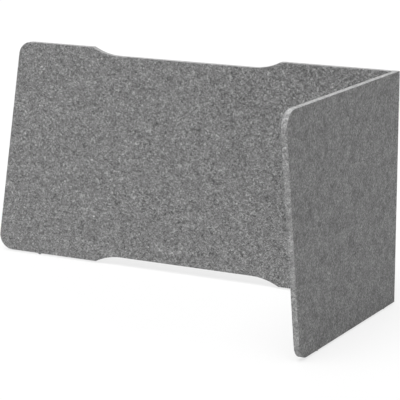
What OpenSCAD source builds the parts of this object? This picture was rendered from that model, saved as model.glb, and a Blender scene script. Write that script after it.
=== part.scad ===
// Folding acoustic divider screen for a desk: a long back panel and a shorter
// wing, hinged at a mitred corner. Each panel is a rigid board with felt on
// both faces and a felt band let in round its edge.
//
// Frame: +X to the right along the back panel, +Y to the rear, +Z up. The
// origin is the middle of the footprint, on the surface that the feet stand on.
// Each panel is drawn in its own directions and then placed:
// u runs from the outside corner of the screen towards the panel's free end,
// w runs from the panel's outer face to its inner face, and v runs upwards.

/* [Panels] */
// Height of both panels, without the feet
screen_h = 600; // [450:10:800]
// Length of the back panel's bottom edge, from the outside corner
back_l = 1215; // [950:5:1800]
// Length of the wing's bottom edge, from the outside corner
wing_l = 565; // [400:5:900]
// How far each free end leans over the height of the panel
end_run = 90; // [0:5:150]
// Thickness of a finished panel
panel_t = 15; // [13:0.5:24]
// Radius of the corners at the free ends
corner_r = 40; // [10:1:80]

/* [Recesses of the back panel] */
// Depth of the long recess in the top edge and in the bottom edge
recess_depth = 20; // [10:1:30]
// Radius of the curve at each end of a recess
recess_end_r = 175; // [60:5:250]
// Length of the full-height part left at each end of a recess
shoulder_l = 325; // [200:5:400]

/* [Build-up] */
// Thickness of the felt facing on each face
facing_t = 2; // [1.5:0.1:3]
// Thickness of the felt band round the edge of the board
band_t = 3; // [2:0.5:5]
// Thickness of the felt strip on each mitred edge
strip_t = 1; // [0.5:0.1:2]
// Gap between the two mitred edges when the screen stands open
mitre_gap = 0.3; // [0.2:0.05:1]

/* [Hinges] */
// Length of each hinge
hinge_l = 70; // [50:1:100]
// Distance from the top or bottom edge to the end of the nearer hinge
hinge_inset = 85; // [60:1:140]
// Width of a leaf on the panel, from the inside corner
leaf_w = 30; // [24:1:40]
// Thickness of a leaf
leaf_t = 2; // [1.2:0.1:2.5]
// Radius of the corners of a leaf
leaf_corner_r = 4; // [1:0.5:6]
// Bevel along the free edges of a leaf
leaf_bevel = 0.4; // [0.2:0.1:0.6]
// Bevel round the ends of a knuckle
knuckle_bevel = 0.4; // [0.2:0.1:0.6]
// Distance from each inner face to the hinge's centre line
axis_out = 2; // [1.5:0.1:4]
// Diameter of the hinge pin
pin_d = 3.2; // [2:0.1:4]
// How far each end of the pin stands out of its knuckle
pin_proud = 0.8; // [0.4:0.1:1.5]
// Bevel round the ends of the pin
pin_bevel = 0.5; // [0.2:0.1:0.8]
// Radial clearance of the pin in the wing's knuckles
pin_clear = 0.05; // [0.02:0.01:0.1]
// Gap between two knuckles
knuckle_gap = 0.4; // [0.2:0.1:1]

/* [Hinge screws] */
// Diameter of a screw's shank
screw_d = 3; // [2.5:0.1:4]
// Diameter of a countersunk head
screw_head_d = 5.6; // [5:0.1:7]
// Length of a screw, with its head
screw_l = 10; // [6:0.5:10]
// Depth of a head below the face of the leaf
head_sunk = 0.2; // [0.1:0.05:0.4]
// Depth of the cross in a head
cross_depth = 0.9; // [0.5:0.1:1.2]
// Width of each slot of the cross
cross_w = 0.7; // [0.5:0.1:1]

/* [Feet] */
// Diameter of a foot
foot_d = 8; // [6:0.5:11]
// Height of a foot below the panel
foot_h = 4.5; // [3:0.5:8]
// Height of the bevel round the underside of a foot
foot_bevel = 0.8; // [0.2:0.1:1.5]
// Diameter of the barbed stem that is pressed into the panel
stem_d = 4; // [3:0.5:5]
// Length of the stem
stem_l = 16; // [12:1:24]
// Depth of the grooves between the barbs
barb_depth = 0.4; // [0.2:0.1:0.6]
// Distance from the back panel's bottom end corner to its outer foot
back_foot_inset = 135; // [80:5:200]
// Distance from the wing's bottom end corner to its outer foot
wing_foot_inset = 105; // [60:5:160]
// Distance from the outside corner to the foot near it, on each panel
corner_foot_inset = 60; // [45:5:120]

/* [Fits] */
// Gap round a hinge leaf in its cut-out in the felt
cutout_clear = 0.5; // [0.2:0.1:1]
// Gap between a turning part of a hinge and what it passes
turn_clear = 0.3; // [0.2:0.05:0.6]
// Depth left free beyond the end of a screw or a stem
bore_spare = 0.5; // [0.2:0.1:1]

/* [Hidden] */
$fn = 96;

// Overrun of every cut past the surface that it cuts
over = 1;

// The free ends lean by this angle, and the rounding of the acute corner draws
// the panel in by this much at its widest
lean = atan(end_run / screen_h);
corner_tuck = corner_r / tan((90 - lean) / 2) - corner_r;

// Place of the screen's outside corner
corner_x = (back_l - corner_tuck) / 2;
corner_y = (wing_l + end_run - corner_tuck) / 2;

// Length of a panel's top edge
back_top_l = back_l - end_run;
wing_top_l = wing_l + end_run;

// Depths of the layers from the outer face, and of the two mitre cuts
core_w0 = facing_t;
core_w1 = panel_t - facing_t;
felt_cut = mitre_gap / sqrt(2);
core_cut = felt_cut + strip_t * sqrt(2);

// The hinge's centre line lies at the same u and w in both panels
axis_u = panel_t + axis_out;
knuckle_r = axis_out + facing_t - turn_clear;
leaf_u0 = axis_u + knuckle_r + turn_clear;
leaf_u1 = panel_t + leaf_w;
leaf_rim_h = leaf_t - leaf_bevel;
knuckles = 5;
knuckle_l = (hinge_l - (knuckles - 1) * knuckle_gap) / knuckles;
upper_v = screen_h - hinge_inset - hinge_l;
lower_v = hinge_inset;

// Screws in a leaf: shares of the hinge's length, and the middle of the plate
screw_place_shares = [0.16, 0.5, 0.84];
screw_u = (leaf_u0 + leaf_u1) / 2;
screw_head_h = (screw_head_d - screw_d) / 2;
screw_bore_l = head_sunk + screw_l + bore_spare;
screw_tip_h = screw_d / 2;

barbs = 4;
barb_pitch = stem_l / (barbs + 1);

felt = [0.50, 0.50, 0.50];
board = [0.72, 0.60, 0.44];
steel = [0.70, 0.71, 0.72];
zinc = [0.78, 0.77, 0.72];
foot_grey = [0.42, 0.42, 0.43];

function toward(angle) = [cos(angle), sin(angle)];

// Outline of a panel

// The piece outside the rounding of a corner at p, whose edges leave p in the
// directions a and b, with the panel's inside between them
module corner_waste(p, a, b, r) {
    half = abs(b - a) / 2;
    inward = toward((a + b) / 2);
    centre = p + r / sin(half) * inward;
    reach = r / tan(half);
    difference() {
        polygon([p - over * inward, p + reach * toward(a), centre, p + reach * toward(b)]);
        translate(centre) circle(r);
    }
}

// Air of a recess, grown by rim: a level floor between two large arcs that
// meet the panel's edge in a crisp corner
module recess_air(rim) {
    r = recess_end_r + rim;
    centre_v = recess_depth - recess_end_r;
    run = sqrt(recess_end_r * recess_end_r - centre_v * centre_v);
    near_u = shoulder_l + run;
    far_u = back_l - shoulder_l - run;
    for (u = [near_u, far_u]) translate([u, centre_v]) circle(r);
    translate([near_u, -over]) square([far_u - near_u, recess_depth + rim + over]);
}

// Outline with its straight edges drawn in by rim, except at the mitre
module outline(bottom_l, top_l, rim) {
    tilt = atan((bottom_l - top_l) / screen_h);
    end_rim = rim / cos(tilt);
    slope = tan(tilt);
    low = [bottom_l - slope * rim - end_rim, rim];
    high = [top_l + slope * rim - end_rim, screen_h - rim];
    difference() {
        polygon([[-over, rim], low, high, [-over, screen_h - rim]]);
        corner_waste(low, 90 + tilt, 180, corner_r - rim);
        corner_waste(high, 180, 270 + tilt, corner_r - rim);
    }
}

module back_outline(rim = 0) {
    difference() {
        outline(back_l, back_top_l, rim);
        recess_air(rim);
        translate([0, screen_h]) mirror([0, 1]) recess_air(rim);
    }
}

module wing_outline(rim = 0) {
    outline(wing_l, wing_top_l, rim);
}

// Tools shared by the layers

// Turns a flat outline in u and v into a layer from w0 to w1
module layer(w0, w1) {
    translate([0, w1, 0]) rotate([90, 0, 0]) linear_extrude(w1 - w0) children();
}

// Everything on the far side of the mitre, set back along u by cut
module beyond_mitre(cut) {
    far = panel_t + over;
    translate([0, 0, -over]) linear_extrude(screen_h + 2 * over)
        polygon([[-2 * over, -over], [cut - over, -over], [cut + far, far], [-2 * over, far]]);
}

// The space that a hinge needs in the inner felt, with the leaf's round corners
module hinge_cutout(v) {
    low = [0, v - cutout_clear];
    high = [leaf_u1 + cutout_clear, v + hinge_l + cutout_clear];
    r = leaf_corner_r + cutout_clear;
    layer(core_w1 - over, panel_t + over) difference() {
        translate(low) square(high - low);
        corner_waste([high[0], low[1]], 90, 180, r);
        corner_waste(high, 180, 270, r);
    }
}

module screw_places(v) {
    for (share = screw_place_shares)
        translate([screw_u, core_w1 + leaf_t, v + share * hinge_l]) rotate([90, 0, 0]) children();
}

// Layers of a panel

module core(end_foot_u) {
    difference() {
        layer(core_w0, core_w1) children();
        beyond_mitre(core_cut);
        for (v = [lower_v, upper_v]) screw_places(v) cylinder(d = screw_d, h = screw_bore_l);
        foot_places(end_foot_u) cylinder(d = stem_d, h = stem_l + bore_spare);
    }
}

module inner_facing() {
    difference() {
        layer(core_w1, panel_t) children();
        beyond_mitre(felt_cut);
        for (v = [lower_v, upper_v]) hinge_cutout(v);
    }
}

module outer_facing() {
    difference() {
        layer(0, core_w0) children();
        beyond_mitre(felt_cut);
    }
}

// The first child is the panel's outline and the second is the board's
module edge_band(end_foot_u) {
    difference() {
        layer(core_w0, core_w1) difference() {
            children(0);
            children(1);
        }
        beyond_mitre(felt_cut);
        foot_places(end_foot_u) cylinder(d = stem_d, h = band_t + over);
    }
}

module mitre_strip() {
    intersection() {
        difference() {
            layer(core_w0, core_w1) children();
            beyond_mitre(felt_cut);
        }
        beyond_mitre(core_cut);
    }
}

// Hinges

// Half of a bar's section, from its middle out, with its two ends bevelled
function bevelled_ends(r, l, bevel) =
    [[0, 0], [r - bevel, 0], [r, bevel], [r, l - bevel], [r - bevel, l], [0, l]];

// Section of a plate with one free edge, bevelled on top
function bevelled_edge(width) =
    [[0, 0], [width, 0], [width, leaf_rim_h], [width - leaf_bevel, leaf_t], [0, leaf_t]];

module round_bar(r, l, bevel) {
    rotate_extrude() polygon(bevelled_ends(r, l, bevel));
}

// Knuckles of one leaf, counted from first in steps of two
module knuckle_row(first, bore_r) {
    for (i = [first : 2 : knuckles - 1])
        translate([axis_u, axis_u, i * (knuckle_l + knuckle_gap)]) difference() {
            union() {
                round_bar(knuckle_r, knuckle_l, knuckle_bevel);
                translate([0, core_w1 - axis_u, 0]) cube([leaf_u0 - axis_u, leaf_t, knuckle_l]);
            }
            translate([0, 0, -over]) cylinder(r = bore_r, h = knuckle_l + 2 * over);
        }
}

// Plate of a leaf: a piece bevelled at both ends, a piece bevelled along the
// outer edge, and a quarter of a round at each outer corner
module plate() {
    r = leaf_corner_r;
    width = leaf_u1 - leaf_u0;
    translate([leaf_u0, core_w1, 0]) {
        rotate([90, 0, 90]) linear_extrude(width - r) polygon(bevelled_ends(leaf_t, hinge_l, leaf_bevel));
        translate([0, 0, r]) linear_extrude(hinge_l - 2 * r) polygon(bevelled_edge(width));
        for (corner = [[0, r], [-90, hinge_l - r]])
            translate([width - r, 0, corner[1]]) rotate([-90, 0, 0]) rotate(corner[0])
                rotate_extrude(angle = 90) polygon(bevelled_edge(r));
    }
}

module leaf(v, first, bore_r) {
    difference() {
        translate([0, 0, v]) union() {
            plate();
            knuckle_row(first, bore_r);
        }
        screw_places(v) screw_hole();
    }
}

module screw_hole() {
    cylinder(d1 = screw_head_d + 2 * head_sunk, d2 = screw_d, h = screw_head_h + head_sunk);
    translate([0, 0, -over]) cylinder(d = screw_d, h = screw_l + over);
}

module screw() {
    translate([0, 0, head_sunk]) difference() {
        union() {
            cylinder(d1 = screw_head_d, d2 = screw_d, h = screw_head_h);
            cylinder(d = screw_d, h = screw_l - screw_tip_h);
            translate([0, 0, screw_l - screw_tip_h]) cylinder(d1 = screw_d, d2 = 0, h = screw_tip_h);
        }
        for (turn = [0, 90]) rotate(turn)
            translate([-screw_d / 2, -cross_w / 2, -over]) cube([screw_d, cross_w, cross_depth + over]);
    }
}

module pin(v) {
    translate([axis_u, axis_u, v - pin_proud]) round_bar(pin_d / 2, hinge_l + 2 * pin_proud, pin_bevel);
}

// Feet

module foot_places(end_foot_u) {
    for (u = [corner_foot_inset, end_foot_u]) translate([u, panel_t / 2, 0]) children();
}

// One foot with its stem upwards, level with the panel's bottom edge
module foot() {
    neck_r = stem_d / 2 - barb_depth;
    rotate_extrude() polygon(concat(
        [[0, -foot_h], [foot_d / 2 - foot_bevel, -foot_h]],
        [[foot_d / 2, foot_bevel - foot_h], [foot_d / 2, 0]],
        [[neck_r, 0], [neck_r, barb_pitch]],
        [for (i = [1 : barbs], p = [[stem_d / 2, i], [neck_r, i + 1]]) [p[0], p[1] * barb_pitch]],
        [[0, stem_l]]
    ));
}

// Places of the two panels

module back_panel() {
    translate([corner_x, corner_y, foot_h]) rotate(180) children();
}

module wing_panel() {
    translate([corner_x, corner_y, foot_h]) rotate(180) mirror([1, -1, 0]) children();
}

back_foot_u = back_l - back_foot_inset;
wing_foot_u = wing_l - wing_foot_inset;

// Nodes of the back panel

module back_core() {
    color(board) back_panel() core(back_foot_u) back_outline(band_t);
}

module back_inner_facing() {
    color(felt) back_panel() inner_facing() back_outline();
}

module back_outer_facing() {
    color(felt) back_panel() outer_facing() back_outline();
}

module back_edge_band() {
    color(felt) back_panel() edge_band(back_foot_u) {
        back_outline();
        back_outline(band_t);
    }
}

module back_mitre_strip() {
    color(felt) back_panel() mitre_strip() back_outline(band_t);
}

// Nodes of the wing

module wing_core() {
    color(board) wing_panel() core(wing_foot_u) wing_outline(band_t);
}

module wing_inner_facing() {
    color(felt) wing_panel() inner_facing() wing_outline();
}

module wing_outer_facing() {
    color(felt) wing_panel() outer_facing() wing_outline();
}

module wing_edge_band() {
    color(felt) wing_panel() edge_band(wing_foot_u) {
        wing_outline();
        wing_outline(band_t);
    }
}

module wing_mitre_strip() {
    color(felt) wing_panel() mitre_strip() wing_outline(band_t);
}

// Nodes of the hinges: the back leaf has the outer and middle knuckles

module upper_hinge_back_leaf() {
    color(steel) back_panel() leaf(upper_v, 0, pin_d / 2);
}

module upper_hinge_wing_leaf() {
    color(steel) wing_panel() leaf(upper_v, 1, pin_d / 2 + pin_clear);
}

module upper_hinge_pin() {
    color(zinc) back_panel() pin(upper_v);
}

module lower_hinge_back_leaf() {
    color(steel) back_panel() leaf(lower_v, 0, pin_d / 2);
}

module lower_hinge_wing_leaf() {
    color(steel) wing_panel() leaf(lower_v, 1, pin_d / 2 + pin_clear);
}

module lower_hinge_pin() {
    color(zinc) back_panel() pin(lower_v);
}

module back_hinge_screws() {
    color(zinc) back_panel() for (v = [lower_v, upper_v]) screw_places(v) screw();
}

module wing_hinge_screws() {
    color(zinc) wing_panel() for (v = [lower_v, upper_v]) screw_places(v) screw();
}

// Nodes of the feet

module back_end_foot() {
    color(foot_grey) back_panel() translate([back_foot_u, panel_t / 2, 0]) foot();
}

module back_corner_foot() {
    color(foot_grey) back_panel() translate([corner_foot_inset, panel_t / 2, 0]) foot();
}

module wing_corner_foot() {
    color(foot_grey) wing_panel() translate([corner_foot_inset, panel_t / 2, 0]) foot();
}

module wing_end_foot() {
    color(foot_grey) wing_panel() translate([wing_foot_u, panel_t / 2, 0]) foot();
}

back_core();
back_inner_facing();
back_outer_facing();
back_edge_band();
back_mitre_strip();
wing_core();
wing_inner_facing();
wing_outer_facing();
wing_edge_band();
wing_mitre_strip();
upper_hinge_back_leaf();
upper_hinge_wing_leaf();
upper_hinge_pin();
lower_hinge_back_leaf();
lower_hinge_wing_leaf();
lower_hinge_pin();
back_hinge_screws();
wing_hinge_screws();
back_end_foot();
back_corner_foot();
wing_corner_foot();
wing_end_foot();
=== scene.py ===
import math
import bpy
import bmesh
import numpy as np
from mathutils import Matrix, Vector, noise
from mathutils.geometry import delaunay_2d_cdt
from mathutils.kdtree import KDTree


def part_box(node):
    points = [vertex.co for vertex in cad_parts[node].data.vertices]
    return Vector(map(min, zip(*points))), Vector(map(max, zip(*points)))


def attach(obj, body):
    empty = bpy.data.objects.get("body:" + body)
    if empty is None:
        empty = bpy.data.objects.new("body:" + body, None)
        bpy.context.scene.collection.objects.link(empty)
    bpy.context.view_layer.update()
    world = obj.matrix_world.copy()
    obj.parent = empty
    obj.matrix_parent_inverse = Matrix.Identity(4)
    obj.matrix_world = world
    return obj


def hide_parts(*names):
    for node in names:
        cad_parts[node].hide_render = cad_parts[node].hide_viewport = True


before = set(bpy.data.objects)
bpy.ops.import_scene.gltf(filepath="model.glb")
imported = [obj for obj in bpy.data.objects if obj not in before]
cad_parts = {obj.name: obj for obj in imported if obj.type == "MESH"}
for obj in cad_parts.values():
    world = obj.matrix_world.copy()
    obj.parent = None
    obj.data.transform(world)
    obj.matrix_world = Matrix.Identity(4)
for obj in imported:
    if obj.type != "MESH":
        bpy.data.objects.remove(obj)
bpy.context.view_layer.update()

# Units: Blender works in metres, and small sizes are written as a count of millimetres
MM = 0.001
X, Y, Z = 0, 1, 2
LOW, HIGH = 0, 1

# Outlines: two corners of the mesh as near as the first are one point, and a point of the outline
# as near to the last as the second is left out
SAME_POINT = 0.02 * MM
REPEATED_POINT = 0.2 * MM

# How far an outline turns on a straight stretch at most, and at a corner and a needle at least
STRAIGHT = math.radians(0.5)
SHARP = math.radians(14)
DOUBLED_BACK = math.radians(150)

# A chord this many times as long as the one it meets is a straight line beside an arc
LINE_TO_ARC = 3

# The way in at a corner grows no more where the squared mean normal is shorter, past 120 degrees
CORNER_LIMIT = 0.25

# Felt meshes: the spacing of their points, and how far their rims are rounded
EDGE_STEP = 2.0 * MM
WALL_ROW = 2.2 * MM
GRID = 3.2 * MM
GRID_CLEAR_SHARE = 0.7
RIM_ROUND = 0.45 * MM
RIM_TURNS = (0, 30, 60, 90)
FACE_SLOT, CUT_SLOT = 0, 1

# The felt's uneven surface: the width and depth of its swells, and how far it has settled
SWELLS = ((34 * MM, 0.11 * MM), (9 * MM, 0.09 * MM), (3.5 * MM, 0.05 * MM))
SETTLED = 0.06 * MM

# Mitre strips: their rounded rim, how far they swell into the gap, and how even they are
MITRE_RIM = 0.2 * MM
MITRE_RIM_STEPS = 2
MITRE_SWELL = 0.13 * MM
MITRE_RELIEF_SHARE = 0.25
MITRE_TALL = 100 * MM
MITRE_FLAT = math.radians(1)

# Felt colours, and how strongly the fibres gather in small clumps and wide clouds
FELT_GREY = 0.27
CUT_GREY = 0.38
CLUMP = 0.26
CLUMP_SIZE = 5.5
CLOUD = 0.13
CLOUD_SIZE = 26

# How far the outer felt's pattern is moved along every axis, in millimetres
OUTER_SHIFT = 390.0

# Each layer of loose fibres: the way they lie, their length and width in millimetres, and how
# much darker or paler than the felt below they are
FIBRE_LAYERS = (
    ((0.7, 0.3, 0.65), 17.0, 4.2, 0.38),
    ((1.0, 0.25, -0.1), 14.0, 3.4, 0.38),
    ((-0.7, -0.3, 0.65), 15.0, 3.8, 0.38),
    ((0.15, -0.1, 1.0), 9.0, 1.6, 0.36),
    ((0.6, -0.4, 0.5), 8.0, 1.2, 0.36),
    ((-0.5, 0.5, 0.6), 7.0, 0.7, 0.42),
    ((0.8, -0.3, 0.3), 6.0, 0.4, 0.45),
    ((0.1, 0.4, 0.9), 5.0, 0.35, 0.45),
)
FIBRE_BEND = 9.0
FIBRE_RIM = (0.48, 0.56)
FIBRE_SHADES = (0.36, 0.64)
NAP_HEIGHT = 0.3
FELT_TONES = (0.1, 0.5)
FELT_ROUGHNESS = (0.98, 0.84)

# The values that most of a noise lies between, and its middle
NOISE_RANGE = (0.3, 0.7)
NOISE_MIDDLE = 0.5

# Steel: brush strokes and smears on its roughness, and how much darker a smear is
STROKE_ROUGHNESS = 0.22
SMEAR_ROUGHNESS = 0.1
SMEARED_SHARE = 0.93

# Board and rubber
BOARD_DARK = (0.17, 0.10, 0.05, 1)
BOARD_PALE = (0.36, 0.25, 0.15, 1)
BOARD_BLEND = (0.35, 0.65)
BOARD_ROUGHNESS = (0.7, 0.9)
FLECK_STRETCH = (0.9, 0.9, 0.2)
DUST_RANGE = (0.35, 0.7)
RUBBER_GREYS = (0.38, 0.46)
RUBBER_ROUGHNESS = (0.55, 0.8)

# Floor and light: the floor's colour to light and to the eye, where FLOOR_GLOW of its white is glow
WHITE = (1, 1, 1, 1)
FLOOR_SIDE = 30.0
FLOOR_GREY = 0.6
FLOOR_WHITE = 0.9
FLOOR_GLOW = 0.74
WORLD_LIGHT = 0.215
SUN_STRENGTH = 3.0
SUN_SOFTNESS = math.radians(50)
SUN_FROM = Vector((0, -0.45, 1.25))
FILL_STRENGTH = 0.7
FILL_SOFTNESS = math.radians(40)
FILL_FROM = Vector((-0.5, 0.8, 0.5))

# Camera, fitted to the photograph's outline
CAMERA_PLACE = (2.3899, -4.0437, 1.3521)
CAMERA_TILT = math.radians(77.05)
CAMERA_TURN = math.radians(28.32)
CAMERA_LENS = 170.5
CAMERA_REACH = 100
SENSOR = 36.0


# Outlines read from the frame

def cad_face(node, axis, side):
    """The outline of a node's flat face on one side of its box, as (along, up) points."""
    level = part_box(node)[side][axis]
    along = X if axis == Y else Y
    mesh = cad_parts[node].data
    uses = {}
    for polygon in mesh.polygons:
        corners = [mesh.vertices[i].co for i in polygon.vertices]
        if any(abs(corner[axis] - level) > SAME_POINT for corner in corners):
            continue
        keys = [(round(c[along] / SAME_POINT), round(c[Z] / SAME_POINT)) for c in corners]
        for start, end in zip(keys, keys[1:] + keys[:1]):
            if start != end:
                edge = frozenset((start, end))
                uses[edge] = uses.get(edge, 0) + 1
    rim = [tuple(edge) for edge, count in uses.items() if count % 2]
    return tidied([Vector(key) * SAME_POINT for key in walked(rim)])


def walked(edges):
    """The ends of the edges in order, once round from the lowest."""
    neighbours = {}
    for start, end in edges:
        neighbours.setdefault(start, []).append(end)
        neighbours.setdefault(end, []).append(start)
    here = first = min(neighbours)
    before = None
    loop = []
    while here != first or not loop:
        loop.append(here)
        onward = [key for key in neighbours[here] if key != before]
        before, here = here, onward[0]
    return loop


def tidied(points):
    """The outline anticlockwise, without points that repeat, double back or lie on a line."""
    kept = []
    for point in points:
        if not kept or (point - kept[-1]).length > REPEATED_POINT:
            kept.append(point)
    place = 0
    while place < len(kept):
        if turn_at(kept, place) > DOUBLED_BACK:
            del kept[place]
        else:
            place += 1
    area = sum(a.cross(b) for a, b in zip(kept, kept[1:] + kept[:1]))
    if area < 0:
        kept.reverse()
    return [point for i, point in enumerate(kept) if turn_at(kept, i) > STRAIGHT]


def turn_at(points, i):
    """How far a closed outline turns at its point i, either way."""
    here = points[i]
    onward = points[(i + 1) % len(points)] - here
    return abs((here - points[i - 1]).angle_signed(onward, 0.0))


def headings(points):
    """The way the outline runs through each point, taken from the straight line beside an arc."""
    ways = []
    for i, here in enumerate(points):
        back = here - points[i - 1]
        onward = points[(i + 1) % len(points)] - here
        if back.length > LINE_TO_ARC * onward.length:
            way = back.normalized()
        elif onward.length > LINE_TO_ARC * back.length:
            way = onward.normalized()
        else:
            way = (back.normalized() + onward.normalized()).normalized()
        ways.append(way)
    return ways


def refined(points, step):
    """The outline with a point every step or so. Its arcs are round again, its corners stay."""
    count = len(points)
    sharp = [turn_at(points, i) > SHARP for i in range(count)]
    heading = headings(points)
    result = []
    for i, start in enumerate(points):
        j = (i + 1) % count
        end = points[j]
        chord = end - start
        direction = chord.normalized()
        leave, arrive = heading[i], heading[j]
        if sharp[i] and sharp[j]:
            leave = arrive = direction
        elif sharp[i]:
            leave = arrive.reflect(Vector((-direction.y, direction.x)))
        elif sharp[j]:
            arrive = leave.reflect(Vector((-direction.y, direction.x)))
        pieces = max(1, round(chord.length / step))
        for k in range(pieces):
            s = k / pieces
            result.append(
                start * (2 * s**3 - 3 * s**2 + 1)
                + leave * chord.length * (s**3 - 2 * s**2 + s)
                + end * (3 * s**2 - 2 * s**3)
                + arrive * chord.length * (s**3 - s**2)
            )
    return result


def inward(points):
    """For each point of an anticlockwise outline, the way in, longer at a corner."""
    ways = []
    for i, here in enumerate(points):
        back = (here - points[i - 1]).normalized()
        onward = (points[(i + 1) % len(points)] - here).normalized()
        normal = Vector((-back.y - onward.y, back.x + onward.x)) / 2
        ways.append(normal / max(normal.length_squared, CORNER_LIMIT))
    return ways


# Felt meshes

def relief(place):
    """How far the felt's surface stands proud of its nominal plane there."""
    height = -SETTLED
    for width, depth in SWELLS:
        height += depth * noise.noise(place / width)
    return height


def grid_inside(outline, spacing):
    """Points of a triangular grid that lie well inside an outline."""
    loop = np.array([tuple(point) for point in outline])
    low = loop.min(axis=0)
    high = loop.max(axis=0)
    edge_points = KDTree(len(outline))
    for i, point in enumerate(outline):
        edge_points.insert((point.x, point.y, 0), i)
    edge_points.balance()
    start, end = loop, np.roll(loop, -1, axis=0)
    inner = []
    row_height = spacing * math.sqrt(3) / 2
    for row, up in enumerate(np.arange(low[1] + row_height / 2, high[1], row_height)):
        crossing = (start[:, 1] > up) != (end[:, 1] > up)
        share = (up - start[crossing, 1]) / (end[crossing, 1] - start[crossing, 1])
        walls = np.sort(start[crossing, 0] + share * (end[crossing, 0] - start[crossing, 0]))
        offset = spacing / 2 if row % 2 else 0
        along = np.arange(low[0] + offset, high[0], spacing)
        inside = np.searchsorted(walls, along) % 2 == 1
        for place in along[inside]:
            if edge_points.find((place, up, 0))[2] > GRID_CLEAR_SHARE * spacing:
                inner.append(Vector((place, up)))
    return inner


def filled(outline, inner_points):
    """Triangles that fill an outline through the given points.

    Returns the points, the faces and the new index of each point of the outline.
    """
    count = len(outline)
    edges = [(i, (i + 1) % count) for i in range(count)]
    inside_only = 1
    made = delaunay_2d_cdt(
        list(outline) + list(inner_points), edges, [], inside_only, SAME_POINT / 10
    )
    points, faces, origins = made[0], made[2], made[3]
    where = {}
    for new, olds in enumerate(origins):
        for old in olds:
            where[old] = new
    return points, faces, [where[i] for i in range(count)]


class Slab:
    """A flat felt piece in the outline of a CAD node's flat faces, built up ring by ring.

    A depth is counted from the face that shows, and an angle from that face to the sides.
    """

    def __init__(self, node, axis, shown):
        self.axis = axis
        self.along = X if axis == Y else Y
        self.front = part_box(node)[shown][axis]
        self.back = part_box(node)[1 - shown][axis]
        self.depth = abs(self.back - self.front)
        near = cad_face(node, axis, shown)
        far = cad_face(node, axis, 1 - shown)
        self.mitre = max(point.x for point in near)
        self.mitre_shift = max(point.x for point in far) - self.mitre
        self.outline = refined(near, EDGE_STEP)
        self.points = []
        self.faces = []
        self.slots = []

    def loop_at(self, depth):
        """The outline at a depth, where only the mitred end has moved."""
        share = depth / self.depth
        loop = []
        for point in self.outline:
            shift = self.mitre_shift * share if self.mitre - point.x < SAME_POINT else 0
            loop.append(Vector((point.x + shift, point.y)))
        return loop

    def place(self, point, depth):
        """A point of the flat outline at a depth, in the frame of the object."""
        spot = Vector((0, 0, point.y))
        spot[self.along] = point.x
        spot[self.axis] = self.front + (self.back - self.front) * depth / self.depth
        return spot

    def direction(self, way, angle):
        """The way the surface faces at an angle, where way is the way into the outline."""
        outward = Vector((0, 0, -way.y))
        outward[self.along] = -way.x
        outward.normalize()
        face = Vector((0, 0, 0))
        face[self.axis] = 1 if self.front > self.back else -1
        return face * math.cos(angle) + outward * math.sin(angle)

    def ring(self, depth, inset, angle):
        """One ring of points round the piece. Returns the index of its first point."""
        first = len(self.points)
        loop = self.loop_at(depth)
        for point, way in zip(loop, inward(loop)):
            spot = self.place(point + way * inset, depth)
            self.points.append(spot + self.direction(way, angle) * relief(spot))
        return first

    def wall(self, upper, lower):
        """Faces between two rings."""
        count = len(self.outline)
        for i in range(count):
            j = (i + 1) % count
            self.faces.append((upper + i, upper + j, lower + j, lower + i))
            self.slots.append(CUT_SLOT)

    def cap(self, ring, depth, inset, spacing, uneven):
        """Fills a ring, through a grid of points where a spacing is given."""
        loop = self.loop_at(depth)
        loop = [point + way * inset for point, way in zip(loop, inward(loop))]
        inner = grid_inside(loop, spacing) if spacing else []
        points, faces, on_ring = filled(loop, inner)
        index = {new: ring + i for i, new in enumerate(on_ring)}
        face_way = self.direction(Vector((1, 0)), 0)
        for new, point in enumerate(points):
            if new not in index:
                index[new] = len(self.points)
                spot = self.place(point, depth)
                self.points.append(spot + face_way * relief(spot) * uneven)
        self.faces.extend(tuple(index[i] for i in face) for face in faces)
        self.slots.extend([FACE_SLOT] * len(faces))

    def made(self, name):
        """The finished piece as a Blender object."""
        mesh = bpy.data.meshes.new(name)
        mesh.from_pydata(self.points, [], self.faces)
        mesh.polygons.foreach_set("material_index", self.slots)
        turned = bmesh.new()
        turned.from_mesh(mesh)
        bmesh.ops.recalc_face_normals(turned, faces=turned.faces)
        turned.to_mesh(mesh)
        turned.free()
        return placed(name, mesh)


def placed(name, mesh):
    """A smooth mesh as an object in the scene."""
    mesh.shade_smooth()
    piece = bpy.data.objects.new(name, mesh)
    bpy.context.scene.collection.objects.link(piece)
    return piece


def rounded_rim(depth, from_back):
    """The rings of one rounded rim, as (depth, inset, angle), in order from the front."""
    rings = []
    for degrees in RIM_TURNS:
        angle = math.radians(degrees)
        inset = RIM_ROUND * (1 - math.sin(angle))
        below = RIM_ROUND * (1 - math.cos(angle))
        if from_back:
            rings.append((depth - below, inset, math.pi - angle))
        else:
            rings.append((below, inset, angle))
    return rings[::-1] if from_back else rings


def flat_felt(name, node, axis, shown, both_rims):
    """A facing, whose shown face and front rim are worked, or an edge band, worked all round."""
    slab = Slab(node, axis, shown)
    rings = rounded_rim(slab.depth, False)
    last_depth = slab.depth - (RIM_ROUND if both_rims else 0)
    rows = max(1, round((last_depth - RIM_ROUND) / WALL_ROW))
    for row in range(1, rows):
        rings.append((RIM_ROUND + (last_depth - RIM_ROUND) * row / rows, 0, math.pi / 2))
    if both_rims:
        rings.extend(rounded_rim(slab.depth, True))
    else:
        rings.append((slab.depth, 0, math.pi / 2))
    firsts = [slab.ring(*ring) for ring in rings]
    for upper, lower in zip(firsts, firsts[1:]):
        slab.wall(upper, lower)
    slab.cap(firsts[0], rings[0][0], rings[0][1], 0 if both_rims else GRID, 1)
    slab.cap(firsts[-1], rings[-1][0], rings[-1][1], 0, 0)
    return slab.made(name)


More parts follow.
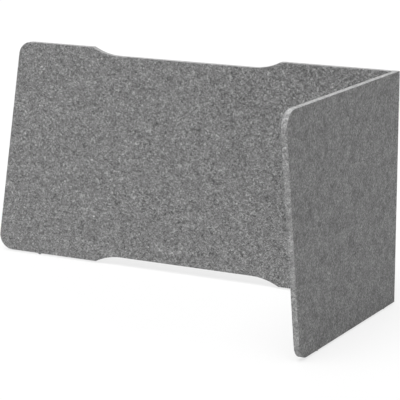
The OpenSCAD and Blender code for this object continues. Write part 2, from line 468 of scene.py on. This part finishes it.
def mitre_felt(name, node, gap_way):
    """A mitre strip: the node's own shape, softened at its edges and swollen into the gap."""
    strip = bmesh.new()
    strip.from_mesh(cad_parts[node].data)
    bmesh.ops.remove_doubles(strip, verts=strip.verts, dist=SAME_POINT)
    bmesh.ops.dissolve_limit(
        strip, angle_limit=MITRE_FLAT, verts=strip.verts, edges=strip.edges
    )
    bmesh.ops.bevel(
        strip, geom=strip.edges, offset=MITRE_RIM, segments=MITRE_RIM_STEPS, profile=0.5,
        affect="EDGES",
    )
    tall = [edge for edge in strip.edges if edge.calc_length() > MITRE_TALL]
    cuts = round(tall[0].calc_length() / GRID)
    bmesh.ops.subdivide_edges(strip, edges=tall, cuts=cuts, use_grid_fill=True)
    bmesh.ops.recalc_face_normals(strip, faces=strip.faces)
    for vertex in strip.verts:
        facing_gap = max(0, vertex.normal.dot(gap_way))
        uneven = (relief(vertex.co) + SETTLED) * MITRE_RELIEF_SHARE
        vertex.co += gap_way * facing_gap * (MITRE_SWELL + uneven)
    mesh = bpy.data.meshes.new(name)
    strip.to_mesh(mesh)
    strip.free()
    return placed(name, mesh)


# Material nodes

def tree_of(material):
    """The material's empty node tree, with its output."""
    material.use_nodes = True
    tree = material.node_tree
    tree.nodes.clear()
    return tree, tree.nodes.new("ShaderNodeOutputMaterial")


def feed(tree, socket, value):
    """Links a socket to a socket, or sets it to a value."""
    if isinstance(value, bpy.types.NodeSocket):
        tree.links.new(value, socket)
    else:
        socket.default_value = value


def math_node(tree, operation, first, second):
    """A Math node's result. first and second are sockets or numbers."""
    node = tree.nodes.new("ShaderNodeMath")
    node.operation = operation
    for socket, value in zip(node.inputs, (first, second)):
        feed(tree, socket, value)
    return node.outputs[0]


def vector_node(tree, operation, first, second):
    """A Vector Math node's result."""
    node = tree.nodes.new("ShaderNodeVectorMath")
    node.operation = operation
    for socket, value in zip(node.inputs, (first, second)):
        feed(tree, socket, value)
    return node.outputs[0]


def mapped(tree, value, span, to_span, smooth=False):
    """A value from one span, as (low, high), mapped to another and kept within it."""
    node = tree.nodes.new("ShaderNodeMapRange")
    node.interpolation_type = "SMOOTHSTEP" if smooth else "LINEAR"
    for socket, given in zip(node.inputs, (value, *span, *to_span)):
        feed(tree, socket, given)
    return node.outputs[0]


def mixed(tree, share, first, second):
    """first and second mixed as numbers."""
    node = tree.nodes.new("ShaderNodeMix")
    node.data_type = "FLOAT"
    feed(tree, node.inputs["Factor"], share)
    feed(tree, node.inputs["A"], first)
    feed(tree, node.inputs["B"], second)
    return node.outputs["Result"]


def noise_node(tree, vector, scale, detail, roughness=0.5):
    """A Noise Texture, as (its value, its colour). scale counts its cells in a unit length."""
    node = tree.nodes.new("ShaderNodeTexNoise")
    feed(tree, node.inputs["Vector"], vector)
    node.inputs["Scale"].default_value = scale
    node.inputs["Detail"].default_value = detail
    node.inputs["Roughness"].default_value = roughness
    return node.outputs["Fac"], node.outputs["Color"]


def in_millimetres(tree):
    """Places on the object at rest, in millimetres."""
    places = tree.nodes.new("ShaderNodeTexCoord").outputs["Object"]
    return vector_node(tree, "MULTIPLY", places, (1 / MM,) * 3)


def grey(tree, value):
    """A number as a grey colour."""
    node = tree.nodes.new("ShaderNodeCombineColor")
    for socket in node.inputs:
        feed(tree, socket, value)
    return node.outputs[0]


def bump(tree, height, strength, distance):
    """A bump from a height."""
    node = tree.nodes.new("ShaderNodeBump")
    node.inputs["Strength"].default_value = strength
    node.inputs["Distance"].default_value = distance
    tree.links.new(height, node.inputs["Height"])
    return node.outputs[0]


def principled(tree, output, **values):
    """The surface shader. values are sockets or numbers by input name, with _ for a space."""
    shader = tree.nodes.new("ShaderNodeBsdfPrincipled")
    for name, value in values.items():
        feed(tree, shader.inputs[name.replace("_", " ")], value)
    tree.links.new(shader.outputs[0], output.inputs["Surface"])


def is_seen(tree):
    """1 where a camera, mirror or glass ray arrives, else 0."""
    path = tree.nodes.new("ShaderNodeLightPath")
    seen = math_node(
        tree, "MAXIMUM", path.outputs["Is Camera Ray"], path.outputs["Is Glossy Ray"]
    )
    return math_node(tree, "MAXIMUM", seen, path.outputs["Is Transmission Ray"])


# Materials, whose patterns are sized in millimetres

def with_fibres(tree, tone, places, heather):
    """A tone crossed by every layer of fibres, each as bent and broken as the others."""
    bend = noise_node(tree, places, scale=0.11, detail=1)[1]
    bend = vector_node(tree, "SUBTRACT", bend, (NOISE_MIDDLE,) * 3)
    bend = vector_node(tree, "MULTIPLY", bend, (FIBRE_BEND,) * 3)
    bent = vector_node(tree, "ADD", places, bend)
    for way, length, width, contrast in FIBRE_LAYERS:
        rotate = tree.nodes.new("ShaderNodeVectorRotate")
        rotate.rotation_type = "EULER_XYZ"
        feed(tree, rotate.inputs["Vector"], bent)
        turned = Vector(way).rotation_difference(Vector((1, 0, 0)))
        rotate.inputs["Rotation"].default_value = turned.to_euler()
        stretched = vector_node(
            tree, "MULTIPLY", rotate.outputs[0], (1 / length, 1 / width, 1 / width)
        )
        fibre = tree.nodes.new("ShaderNodeSeparateColor")
        feed(tree, fibre.inputs[0], noise_node(tree, stretched, scale=1, detail=1)[1])
        cover = mapped(tree, fibre.outputs[0], FIBRE_RIM, (0, 1), smooth=True)
        reach = contrast * heather
        shade = mapped(tree, fibre.outputs[1], FIBRE_SHADES, (1 - reach, 1 + reach))
        tone = math_node(tree, "MULTIPLY", tone, mixed(tree, cover, 1.0, shade))
    return tone


def felt_material(name, tone, heather, clumps, shift=0):
    """Needled felt: dark and pale fibres lying every way in a mid grey, in loose clumps.

    heather is how strongly the fibres stand out, and clumps how strongly they gather, where 1
    is what FIBRE_LAYERS, CLUMP and CLOUD say. shift moves the whole pattern, so that two felts
    differ.
    """
    material = bpy.data.materials.new(name)
    tree, output = tree_of(material)
    places = vector_node(tree, "ADD", in_millimetres(tree), (shift,) * 3)
    clump = noise_node(tree, places, scale=1 / CLUMP_SIZE, detail=2, roughness=0.6)[0]
    cloud = noise_node(tree, places, scale=1 / CLOUD_SIZE, detail=2)[0]
    for gathered, depth in ((clump, CLUMP * clumps), (cloud, CLOUD * clumps)):
        shade = mapped(tree, gathered, NOISE_RANGE, (1 - depth, 1 + depth))
        tone = math_node(tree, "MULTIPLY", shade, tone)
    tone = with_fibres(tree, tone, places, heather)
    nap = noise_node(tree, places, scale=2.2, detail=2)[0]
    height = math_node(tree, "ADD", tone, math_node(tree, "MULTIPLY", nap, NAP_HEIGHT))
    principled(
        tree,
        output,
        Base_Color=grey(tree, tone),
        Roughness=mapped(tree, tone, FELT_TONES, FELT_ROUGHNESS),
        Specular_IOR_Level=0.15,
        Sheen_Weight=0.12,
        Sheen_Roughness=0.6,
        Normal=bump(tree, height, strength=0.5, distance=0.35 * MM),
    )
    return material


def steel_material(name, colour, roughness, grain):
    """Bright steel, brushed one way, with faint smears.

    grain is how far a stroke reaches along each axis.
    """
    material = bpy.data.materials.new(name)
    tree, output = tree_of(material)
    places = in_millimetres(tree)
    strokes = vector_node(tree, "MULTIPLY", places, [1 / length for length in grain])
    lines = noise_node(tree, strokes, scale=1, detail=3, roughness=0.65)[0]
    smear = noise_node(tree, places, scale=0.16, detail=2)[0]
    brushed = math_node(tree, "MULTIPLY", lines, STROKE_ROUGHNESS)
    smeared = math_node(tree, "MULTIPLY", smear, SMEAR_ROUGHNESS)
    rough = math_node(tree, "ADD", brushed, roughness - STROKE_ROUGHNESS / 2)
    level = mapped(tree, smear, NOISE_RANGE, (colour * SMEARED_SHARE, colour))
    principled(
        tree,
        output,
        Base_Color=grey(tree, level),
        Metallic=1.0,
        Roughness=math_node(tree, "ADD", rough, smeared),
        Normal=bump(tree, lines, strength=0.25, distance=0.05 * MM),
    )
    return material


def board_material(name):
    """Pressed fibre board: warm brown with fine darker and paler fibres."""
    material = bpy.data.materials.new(name)
    tree, output = tree_of(material)
    places = in_millimetres(tree)
    flecks = noise_node(tree, places, scale=1.4, detail=3, roughness=0.7)[0]
    stretched = vector_node(tree, "MULTIPLY", places, FLECK_STRETCH)
    streaks = noise_node(tree, stretched, scale=1, detail=2)[0]
    both = math_node(tree, "ADD", flecks, streaks)
    ramp = tree.nodes.new("ShaderNodeValToRGB")
    for element, position, colour in zip(
        ramp.color_ramp.elements, BOARD_BLEND, (BOARD_DARK, BOARD_PALE)
    ):
        element.position = position
        element.color = colour
    tree.links.new(math_node(tree, "DIVIDE", both, 2), ramp.inputs[0])
    principled(
        tree,
        output,
        Base_Color=ramp.outputs[0],
        Roughness=mapped(tree, flecks, NOISE_RANGE, BOARD_ROUGHNESS),
        Normal=bump(tree, flecks, strength=0.3, distance=0.15 * MM),
    )
    return material


def rubber_material(name):
    """Moulded pale grey rubber, a little dusty."""
    material = bpy.data.materials.new(name)
    tree, output = tree_of(material)
    places = in_millimetres(tree)
    grain = noise_node(tree, places, scale=3, detail=2)[0]
    dust = noise_node(tree, places, scale=0.5, detail=3)[0]
    principled(
        tree,
        output,
        Base_Color=grey(tree, mapped(tree, dust, DUST_RANGE, RUBBER_GREYS)),
        Roughness=mapped(tree, dust, NOISE_RANGE, RUBBER_ROUGHNESS),
        Normal=bump(tree, grain, strength=0.3, distance=0.06 * MM),
    )
    return material


def dress(piece, *materials):
    """Gives a piece or a CAD node its materials, in the order of its slots."""
    slots = piece.data.materials
    for i, material in enumerate(materials):
        if i < len(slots):
            slots[i] = material
        else:
            slots.append(material)


INNER_FELT = felt_material("felt_inner", FELT_GREY, heather=1.0, clumps=0.95)
OUTER_FELT = felt_material("felt_outer", FELT_GREY, heather=0.62, clumps=1.35, shift=OUTER_SHIFT)
CUT_FELT = felt_material("felt_cut_edge", CUT_GREY, heather=0.67, clumps=1.0)
FINISHES = {
    "board": board_material("board_pressed_fibre"),
    "hinge_steel": steel_material("steel_brushed", 0.62, 0.34, grain=(0.25, 0.25, 9)),
    "screw_steel": steel_material("steel_zinc", 0.66, 0.3, grain=(0.6, 0.6, 0.6)),
    "foot": rubber_material("rubber_grey"),
}


# The object: felt pieces take the place of the plain felt solids, and the rigid nodes keep
# their shape and get their finish

PANELS = {"back_panel": ("back", Y), "wing": ("wing", X)}
FLAT_PARTS = (
    ("inner_facing", LOW, False, INNER_FELT),
    ("outer_facing", HIGH, False, OUTER_FELT),
    ("edge_band", LOW, True, CUT_FELT),
)


def felt_pieces():
    """Each felt piece, with its body, the node that it stands for and its materials."""
    for body, (panel, axis) in PANELS.items():
        for part, shown, both_rims, felt in FLAT_PARTS:
            node = f"{panel}_{part}"
            piece = flat_felt(f"{node}_felt", node, axis, shown, both_rims)
            yield piece, body, node, (felt, CUT_FELT)
    across_gap = Vector((1, -1, 0)).normalized()
    for body, (panel, axis) in PANELS.items():
        node = f"{panel}_mitre_strip"
        gap_way = across_gap if axis == Y else -across_gap
        yield mitre_felt(f"{node}_felt", node, gap_way), body, node, (CUT_FELT,)


for piece, body, node, materials in felt_pieces():
    dress(piece, *materials)
    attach(piece, body)
    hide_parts(node)

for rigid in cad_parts.values():
    slot_name = rigid.material_slots[0].name
    if slot_name in FINISHES:
        dress(rigid, FINISHES[slot_name])


# Floor, light and camera

def build_floor():
    """A plain pale floor, white to the eye and grey to the light that it sends back."""
    half = FLOOR_SIDE / 2
    mesh = bpy.data.meshes.new("floor")
    corners = [(-half, -half, 0), (half, -half, 0), (half, half, 0), (-half, half, 0)]
    mesh.from_pydata(corners, [], [(0, 1, 2, 3)])
    floor = bpy.data.objects.new("floor", mesh)
    bpy.context.scene.collection.objects.link(floor)
    material = bpy.data.materials.new("floor_white")
    tree, output = tree_of(material)
    seen = is_seen(tree)
    lit = tree.nodes.new("ShaderNodeBsdfDiffuse")
    level = mixed(tree, seen, FLOOR_GREY, FLOOR_WHITE * (1 - FLOOR_GLOW))
    tree.links.new(grey(tree, level), lit.inputs["Color"])
    glow = tree.nodes.new("ShaderNodeEmission")
    glow.inputs["Color"].default_value = WHITE
    tree.links.new(math_node(tree, "MULTIPLY", seen, FLOOR_GLOW), glow.inputs["Strength"])
    both = tree.nodes.new("ShaderNodeAddShader")
    tree.links.new(lit.outputs[0], both.inputs[0])
    tree.links.new(glow.outputs[0], both.inputs[1])
    tree.links.new(both.outputs[0], output.inputs["Surface"])
    mesh.materials.append(material)


def build_world():
    """An even pale surround: white where it is seen, softer as a light."""
    world = bpy.data.worlds.new("surround")
    bpy.context.scene.world = world
    world.use_nodes = True
    tree = world.node_tree
    background = tree.nodes["Background"]
    background.inputs["Color"].default_value = WHITE
    strength = mixed(tree, is_seen(tree), WORLD_LIGHT, 1.0)
    tree.links.new(strength, background.inputs["Strength"])


def build_sun(name, strength, softness, source):
    """A broad soft light that shines from a direction."""
    lamp = bpy.data.lights.new(name, "SUN")
    lamp.energy = strength
    lamp.angle = softness
    sun = bpy.data.objects.new(name, lamp)
    sun.rotation_euler = source.to_track_quat("Z", "Y").to_euler()
    bpy.context.scene.collection.objects.link(sun)


def build_camera():
    """The photograph's view."""
    lens = bpy.data.cameras.new("camera")
    lens.lens = CAMERA_LENS
    lens.sensor_width = SENSOR
    lens.clip_end = CAMERA_REACH
    camera = bpy.data.objects.new("camera", lens)
    camera.location = CAMERA_PLACE
    camera.rotation_euler = (CAMERA_TILT, 0, CAMERA_TURN)
    bpy.context.scene.collection.objects.link(camera)
    bpy.context.scene.camera = camera


build_floor()
build_world()
build_sun("key", SUN_STRENGTH, SUN_SOFTNESS, SUN_FROM)
build_sun("fill", FILL_STRENGTH, FILL_SOFTNESS, FILL_FROM)
build_camera()
bpy.context.scene.view_settings.view_transform = "Standard"
